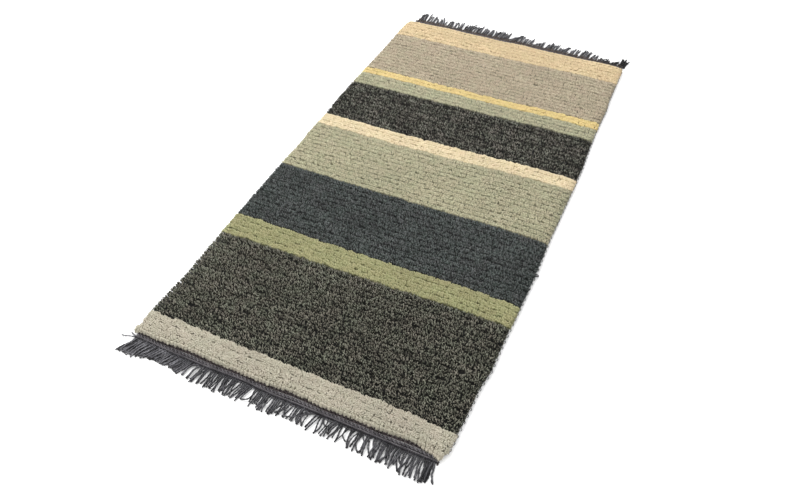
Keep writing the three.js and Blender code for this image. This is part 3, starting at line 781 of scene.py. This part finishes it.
# A lock: how many strands, where its middle leaves the web, where its middle ends along x and along y,
# and how far its tips lie apart
LOCKS = {
    "near": [
        (4, -331, -349, -746, 4), (4, -315, -333, -745, 4), (4, -299, -317, -745, 4),
        (4, -283, -301, -742, 4), (4, -267, -284, -740, 4), (4, -250, -267, -738, 4),
        (4, -233, -249, -739, 4), (4, -217, -232, -739, 4), (4, -201, -216, -743, 4),
        (2, -170, -175, -747, 5.2), (2, -162, -168, -748, 5.2), (2, -156, -160.5, -749, 4.6),
        (2, -147, -149, -745, 5.2), (2, -137, -139, -745, 4.6), (2, -121, -120.5, -747, 5.2),
        (2, -111, -109, -738, 4.6), (2, -105, -103.5, -743, 4.6), (2, -97, -95.5, -747, 4.6),
        (2, -77, -85, -744, 5.2), (2, -69, -75, -746, 5.2), (2, -62, -69, -748, 4.6),
        (2, -54, -62, -741, 4.6), (2, -34, -37, -741, 5.2), (2, -27, -30, -737, 4.6),
        (2, -16, -19, -744, 5.2), (2, -8, -13, -744, 4.6), (2, -1, 1, -746, 5.2),
        (2, 15, 12, -743, 5.2), (2, 24, 22, -741, 4.6), (2, 32, 33, -739, 4.6),
        (2, 54, 51, -740, 5.2), (2, 61, 61.5, -740, 4.6), (2, 131, 122, -741, 5.2),
        (2, 137, 129, -736, 4.6), (2, 142, 139, -744, 5.2), (2, 183, 181, -746, 4.6),
        (2, 204, 205, -746, 4.6), (2, 214, 226, -741, 5.2), (2, 228, 231, -748, 5.2),
        (2, 236, 234, -750, 4.6), (2, 248, 249, -747, 4.6), (2, 279, 280, -751, 5.2),
        (2, 287, 287, -749, 5.2), (2, 294, 292.5, -749, 4.6), (2, 300, 298, -748, 4.6),
        (4, 323, 327, -749, 3), (2, 330, 336, -743, 5.2), (2, -129, -128, -744, 5),
        (2, -90, -89, -743, 5), (2, -22, -23, -742, 5), (2, 6, 4, -744, 5), (2, 220, 218, -746, 5),
        (2, 262, 259, -748, 5), (2, 310, 312, -748, 5),
    ],
    "far": [
        (4, -325, -321, 760, 2.2), (3, -317, -327, 750, 2.4), (3, -309, -316, 758, 2.4),
        (3, -298, -301, 760, 2.4), (2, -290, -293, 754, 2),
        (3, -281, -283, 763, 1.8), (3, -270, -275, 751, 2.8), (3, -259, -264, 752, 2.8),
        (3, -249, -256, 762, 2), (2, -240, -242, 747, 2), (3, -229, -228, 752, 3),
        (3, -215, -222, 752, 2.4), (3, -204, -209, 755, 2.6), (2, -196, -202, 757, 2),
        (4, -188, -188, 761, 2.4), (3, -172, -171, 746, 2.2), (4, -161, -158, 754, 2.2),
        (4, -149, -145, 758, 2.8), (2, -139, -137, 751, 2.4), (3, -130, -129, 753, 2.4),
        (3, -121, -121, 761, 1.8), (4, -111, -108, 760, 2.4), (3, -100, -98, 755, 2.8),
        (3, -90, -89, 751, 2.6), (3, -81, -83, 759, 1.8), (2, -73, -74, 756, 2),
        (3, -65, -63, 754, 2.4), (4, -54, -52, 760, 2.6), (3, -44, -45, 755, 2.2),
        (3, -35, -36, 757, 2.4), (3, -27, -27, 763, 2.6), (4, -12, -4, 747, 2.6),
        (4, 0, 9, 761, 2.2), (4, 12, 18, 763, 2.2), (3, 23, 28, 753, 2.4),
        (3, 33, 36, 755, 2.4), (4, 44, 48, 757, 2.6), (3, 60, 67, 740, 3),
        (4, 70, 76, 748, 2.6), (3, 79, 83, 757, 1.8), (4, 95, 104, 753, 2.6),
        (4, 105, 114, 763, 2.6), (3, 115, 122, 753, 2.4), (3, 123, 130, 762, 1.8),
        (3, 136, 140, 747, 2.8), (3, 147, 153, 751, 2.4), (4, 158, 165, 759, 2.4),
        (3, 170, 176, 752, 2.4), (3, 180, 184, 759, 2), (3, 188, 194, 763, 2.2),
        (2, 200, 207, 750, 2), (3, 208, 214, 760, 2), (4, 218, 222, 763, 2.2),
        (3, 227, 232, 757, 2.2), (3, 236, 247, 752, 2.6), (3, 247, 257, 756, 2.2),
        (3, 262, 268, 742, 2.6), (4, 272, 288, 740, 2.4), (3, 281, 292, 742, 2.2),
        (3, 296, 308, 738, 2.6), (4, 305, 317, 740, 2.4), (2, 316, 321, 744, 2),
        (3, 326, 331, 763, 1.8), (3, 333, 340, 760, 2.2), (3, 339, 348, 755, 2),
    ],
}

# Strands that lie on their own, point by point from the web on
SINGLES = [
    [(-32, 714), (-22, 727), (-9, 741), (5, 755)],
    [(-27, 713), (-17, 725), (-4, 739), (8, 757)],
    [(46, 716), (57, 724), (70, 731), (82, 749)],
    [(-116, 712), (-110, 724), (-103, 733), (-98, 744)],
    [(-76, 713), (-72, 727), (-66, 738), (-63, 752)],
    [(-338, -706), (-345, -708), (-350, -709.5), (-358, -713.5), (-370, -713)],
    [(-338, -704), (-345, -703), (-350, -701), (-355, -699.5)],
    [(-308, -707), (-311, -722), (-315, -738), (-318, -752)],
    [(-176, -706), (-184, -711), (-191, -717), (-195, -726), (-196, -743)],
    [(-178.5, -706), (-187, -711.5), (-193.5, -717), (-197, -726), (-198, -742)],
    [(-174, -708), (-180, -717), (-183, -727), (-183, -735), (-185.5, -745)],
    [(-172, -708), (-178, -717), (-180.5, -727), (-180.5, -735), (-182.5, -746)],
    [(-138, -708), (-137, -720), (-134, -731), (-129.5, -746)],
    [(-86, -707), (-91, -716), (-95, -724), (-95, -735), (-94, -744)],
    [(-40, -708), (-42, -722), (-44, -733), (-50, -738), (-61, -739.5)],
    [(-46, -707), (-45, -718), (-43, -728), (-42, -738)],
    [(8, -707), (6, -718), (4, -728), (3, -745)],
    [(33, -716), (30, -724), (26, -731), (15, -737)],
    [(41, -707), (38, -719), (35, -731), (33, -740)],
    [(46, -707), (46, -720), (46, -731), (41, -740)],
    [(58, -722), (54, -732), (46, -735.5), (31, -737)],
    [(62, -708), (65, -724), (70, -732), (76, -741.5)],
    [(78, -707), (76, -720), (75, -730), (76, -741)],
    [(88, -707), (82, -711), (74, -717), (66, -722), (60, -727)],
    [(84, -706), (76, -710), (68, -715), (61, -719)],
    [(70, -707), (69, -718), (66, -730), (67, -741)],
    [(116, -707), (119, -718), (117, -730), (113, -742)],
    [(91, -707), (88, -718), (86, -728), (83, -740)],
    [(98, -707), (95, -721), (91, -733), (86.5, -746)],
    [(101, -707), (102, -720), (104, -732), (105, -742)],
    [(106, -707), (108, -718), (110, -727), (108, -736), (103, -745)],
    [(107, -706), (109, -715), (114, -722), (122, -723), (129, -719), (131, -710)],
    [(112, -706), (115, -711), (121, -712), (127, -708)],
    [(147, -707), (147, -722), (149, -733), (148.5, -744)],
    [(160, -707), (157, -718), (155, -728), (148.5, -741)],
    [(156, -707), (156, -719), (157, -729), (167, -735)],
    [(166, -707), (167, -722), (169, -734), (174, -746)],
    [(172, -707), (169, -718), (168, -727), (172, -738), (176, -744)],
    [(181, -707), (176, -720), (174, -731), (174, -741)],
    [(187, -707), (185, -720), (186, -731), (191, -739), (197, -745)],
    [(189, -707), (187, -719), (185, -731), (185.5, -745)],
    [(190, -707), (194, -716), (200, -722), (204, -732), (205, -745)],
    [(198, -707), (200, -722), (201, -735), (197, -745)],
    [(206, -714), (210, -728), (219, -742)],
    [(240, -707), (237, -720), (236, -735), (234, -749)],
    [(242, -707), (243, -720), (247, -730), (255, -744)],
    [(254, -707), (252, -718), (249, -729), (238, -745)],
    [(259, -707), (257, -719), (258, -731), (260.5, -750)],
    [(263, -707), (265, -720), (270, -733), (278, -748)],
    [(268, -707), (267, -720), (266, -730), (262, -738)],
    [(273, -707), (269, -720), (266, -739)],
    [(271, -706), (269, -717), (273, -727), (277, -732)],
    [(306, -707), (304, -719), (301, -730), (304, -750)],
    [(312, -707), (313, -722), (316, -736), (319.5, -750)],
    [(316, -707), (319, -720), (325, -731), (329, -741)],
    [(334, -707), (338, -721), (337, -729), (343, -737), (346, -744)],
]


def lock_paths(end, lock):
    """The strands of one lock, from under the last twining to their tips on the floor."""
    count, root, tip, reach, apart = lock
    share = np.linspace(0, 1, STRAND_POINTS)
    place = np.arange(count)[:, None] - (count - 1) / 2
    gathered = np.clip(share / 0.4, 0, 1)
    spacing = mix(STRAND_PITCH, apart, gathered**2 * (3 - 2 * gathered))
    ragged, pointed = (3, 2) if end == "far" else (2, 0)
    sway = RNG.normal(0, 1.8) * np.sin(np.pi * share)
    stray = RNG.normal(0, 1.8, (count, 1)) * share**2
    crimp = 0.3 * np.sin(share * (abs(reach) - FRINGE_START) / 1.5 + RNG.uniform(0, 6, (count, 1)))
    curl = RNG.normal(0, 0.4 * apart, (count, 1)) * np.sin(share * RNG.uniform(3, 8, (count, 1))) * share
    x = root + (tip - root) * share**1.25 + place * spacing + stray + curl + crimp + sway
    side = np.sign(reach)
    start = np.interp(root + place * STRAND_PITCH, WEB_X, WEB_ENDS[end]) - side
    length = reach - start + RNG.normal(0, 1.3 * ragged, (count, 1)) - pointed * np.abs(place)
    lift = (np.arange(count)[:, None] % 2) * RNG.uniform(1.5, 3.2, (count, 1))
    z = STRAND_RADIUS * 1.2 + (1 - share) ** 5 * 0.6 + lift * np.sin(np.pi * share**1.3) ** 0.8
    return np.stack([x, start + length * share, z], 2)


def single_path(points, lift):
    """A smooth line through the points, spaced out evenly, raised a little in its middle."""
    points = np.array(points, float)
    at = np.linspace(0, len(points) - 1, 60)
    line = np.stack([np.interp(at, np.arange(len(points)), points[:, k]) for k in (0, 1)], 1)
    for _ in range(40):
        line[1:-1] = (line[:-2] + 2 * line[1:-1] + line[2:]) / 4
    run = np.append(0, np.linalg.norm(np.diff(line, axis=0), axis=1).cumsum())
    share = np.linspace(0, 1, STRAND_POINTS)
    x, y = (np.interp(share * run[-1], run, line[:, k]) for k in (0, 1))
    return np.stack([x, y, STRAND_RADIUS * 1.2 + lift * np.sin(np.pi * share)], 1)


def hitch_paths(end):
    """The loops by which the last twining holds the roots of the strands, one for each pair of warps."""
    middle = np.arange(*WEB_SPANS[end], WARP_PAIR)[:-1, None] + WARP_PAIR / 2
    bend = np.linspace(0, np.pi, 9)
    half = 3.6 + RNG.normal(0, 0.4, middle.shape)
    x = middle + RNG.normal(0, 0.9, middle.shape) - half * np.cos(bend)
    side = -1 if end == "near" else 1
    reach = half * RNG.uniform(1.1, 2, middle.shape) * np.sin(bend)
    y = np.interp(x, WEB_X, WEB_ENDS[end]) + side * (0.3 + reach)
    return np.stack([x, y, 2.2 + RNG.uniform(-0.6, 0.6, middle.shape) * np.sin(bend)], 2)


def root_paths(end):
    """Short broken ends that lie close together under the loops, painted dark as the shade at the fringe's
    start.
    """
    x = np.arange(*WEB_SPANS[end], ROOT_PITCH)[:, None]
    share = np.linspace(0, 1, 5)
    side = -1 if end == "near" else 1
    reach = mix(*ROOT_REACH[end], RNG.random(x.shape) ** 2)
    y = np.interp(x, WEB_X, WEB_ENDS[end]) + side * (reach * share - 0.5)
    drift = RNG.normal(0, 0.2, x.shape) * reach * share
    return np.stack([x + drift, y, ROOT_HEIGHT[end] + 0 * y], 2)


fringe_cotton = cotton("fringe_cotton", (52, 52, 56), (176, 175, 181), 0.05, (0.35, 1, 0.07))
# The seam's near-black is partly the twining's own dark cotton and partly painted shadow in the gap before
# the fringe.
seam_cotton_and_shade = cotton("seam_cotton_and_shade", (12, 11, 13), (34, 32, 37))
root_shade_cotton = cotton("root_shade_cotton", (28, 22, 19), (104, 90, 82))
for end in ("near", "far"):
    paths = [path for lock in LOCKS[end] for path in lock_paths(end, lock)]
    # The low strands lie under the locks and are painted dark as the shade beneath them.
    low = [path - [0, 0, 0.7] for count, root, tip, reach, apart in LOCKS[end]
           if 2.9 < apart < 4.1 and reach < 0
           for path in lock_paths(end, (2 * count - 3, root, tip, reach + 2.5, apart - 0.8))]
    paths += [single_path(points, number % 3 * 1.6) for number, points in enumerate(SINGLES)
              if (points[0][1] < 0) == (end == "near")]
    tones = [0.8, 1, 1.2] if end == "near" else [0.5, 1, 1.35]
    tone = np.concatenate([RNG.choice(tones, len(paths)), np.full(len(low), 0.35)])
    paths = np.array(paths + low)
    share = np.linspace(0, 1, STRAND_POINTS)
    thick = STRAND_RADIUS * RNG.normal(1, 0.06, (len(paths), 1)) * mix(1, 0.94, share)
    run = np.linalg.norm(np.diff(paths, axis=1), axis=2).cumsum(1)
    twist = RNG.uniform(0, 3, (len(paths), 1)) + PLY_TWIST * np.column_stack([0 * run[:, :1], run])
    # Painted light along each strand: painted shade at its root by the web, and darker at its cut tip.
    lit = tone[:, None] * np.interp(share, [0, 0.25, 0.9, 1], [0.35, 1, 1, 0.25])
    if end == "near":
        lit *= np.interp(paths[..., 0], NEAR_PAINTED_LIGHT["x"], NEAR_PAINTED_LIGHT["lit"])
    else:
        # At the far end the roots take painted shade from behind the pile.
        lit *= np.interp(share, [0, 0.3, 0.7], [0.1, 0.6, 0.78])
        lit *= np.interp(paths[..., 0], FAR_PAINTED_LIGHT["x"], FAR_PAINTED_LIGHT["lit"])
    mesh = sweep("fringe_strands_" + end, paths, thick, 6, 0.2, twist, lit)
    strands = put_on_rug(mesh, "cotton_fringe", fringe_cotton)
    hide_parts("fringe_" + end)
    paths = weft_paths(end, [1.08, 1.16], 3.2, 0.3)
    paths[..., 1] += 0.35 * np.sin(paths[..., 0] / 17) + 0.25 * np.sin(paths[..., 0] / 6.1)
    seam = put_on_rug(sweep("fringe_seam_" + end, paths, 1.0, 5), "cotton_fringe", seam_cotton_and_shade)
    hitches = put_on_rug(sweep("fringe_hitches_" + end, hitch_paths(end), 1.1, 5, lit=0.45),
                         "cotton_fringe", fringe_cotton)
    paths = root_paths(end)
    # Each root's painted brightness, with painted shade towards the right of the far end.
    lit = RNG.uniform(0.6, 1.1, (len(paths), 1))
    if end == "far":
        lit = lit * np.interp(paths[..., 0], [240, 290], [1, 0.35])
    mesh = sweep("fringe_roots_" + end, paths, 1.25, 4, lit=lit)
    roots = put_on_rug(mesh, "cotton_fringe", root_shade_cotton)
    tufts += [strands, seam, hitches, roots]


# The floor is a plain white sweep, and the light is a studio's: white all round, with one large lamp
# high on the left.
FLOOR_HALF = 6
FLOOR_DROP = 0.0004
floor_mesh = bpy.data.meshes.new("floor")
floor_corners = [(x * FLOOR_HALF, y * FLOOR_HALF, 0) for x, y in ((-1, -1), (1, -1), (1, 1), (-1, 1))]
floor_mesh.from_pydata(floor_corners, [], [(0, 1, 2, 3)])
floor = bpy.data.objects.new("floor", floor_mesh)
floor.location.z = -FLOOR_DROP
bpy.context.scene.collection.objects.link(floor)
paint = bpy.data.materials.new("floor_paint")
paint.use_nodes = True
paint_shader = paint.node_tree.nodes["Principled BSDF"]
paint_shader.inputs["Base Color"].default_value = (0.9, 0.9, 0.9, 1)
paint_shader.inputs["Roughness"].default_value = 0.9
floor_mesh.materials.append(paint)
floor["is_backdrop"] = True

world = bpy.data.worlds.new("studio")
world.use_nodes = True
world.node_tree.nodes["Background"].inputs["Color"].default_value = (1, 1, 1, 1)
world.node_tree.nodes["Background"].inputs["Strength"].default_value = 1.36
bpy.context.scene.world = world

lamp = bpy.data.objects.new("lamp", bpy.data.lights.new("lamp", "AREA"))
lamp.data.shape = "DISK"
lamp.data.size = 2.4
lamp.data.energy = 100
lamp.location = (-2.0, 0.5, 2.6)
lamp.rotation_euler = [math.radians(turn) for turn in (0, -38, -14)]
bpy.context.scene.collection.objects.link(lamp)
bpy.context.scene.view_settings.view_transform = "Standard"


low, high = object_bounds()
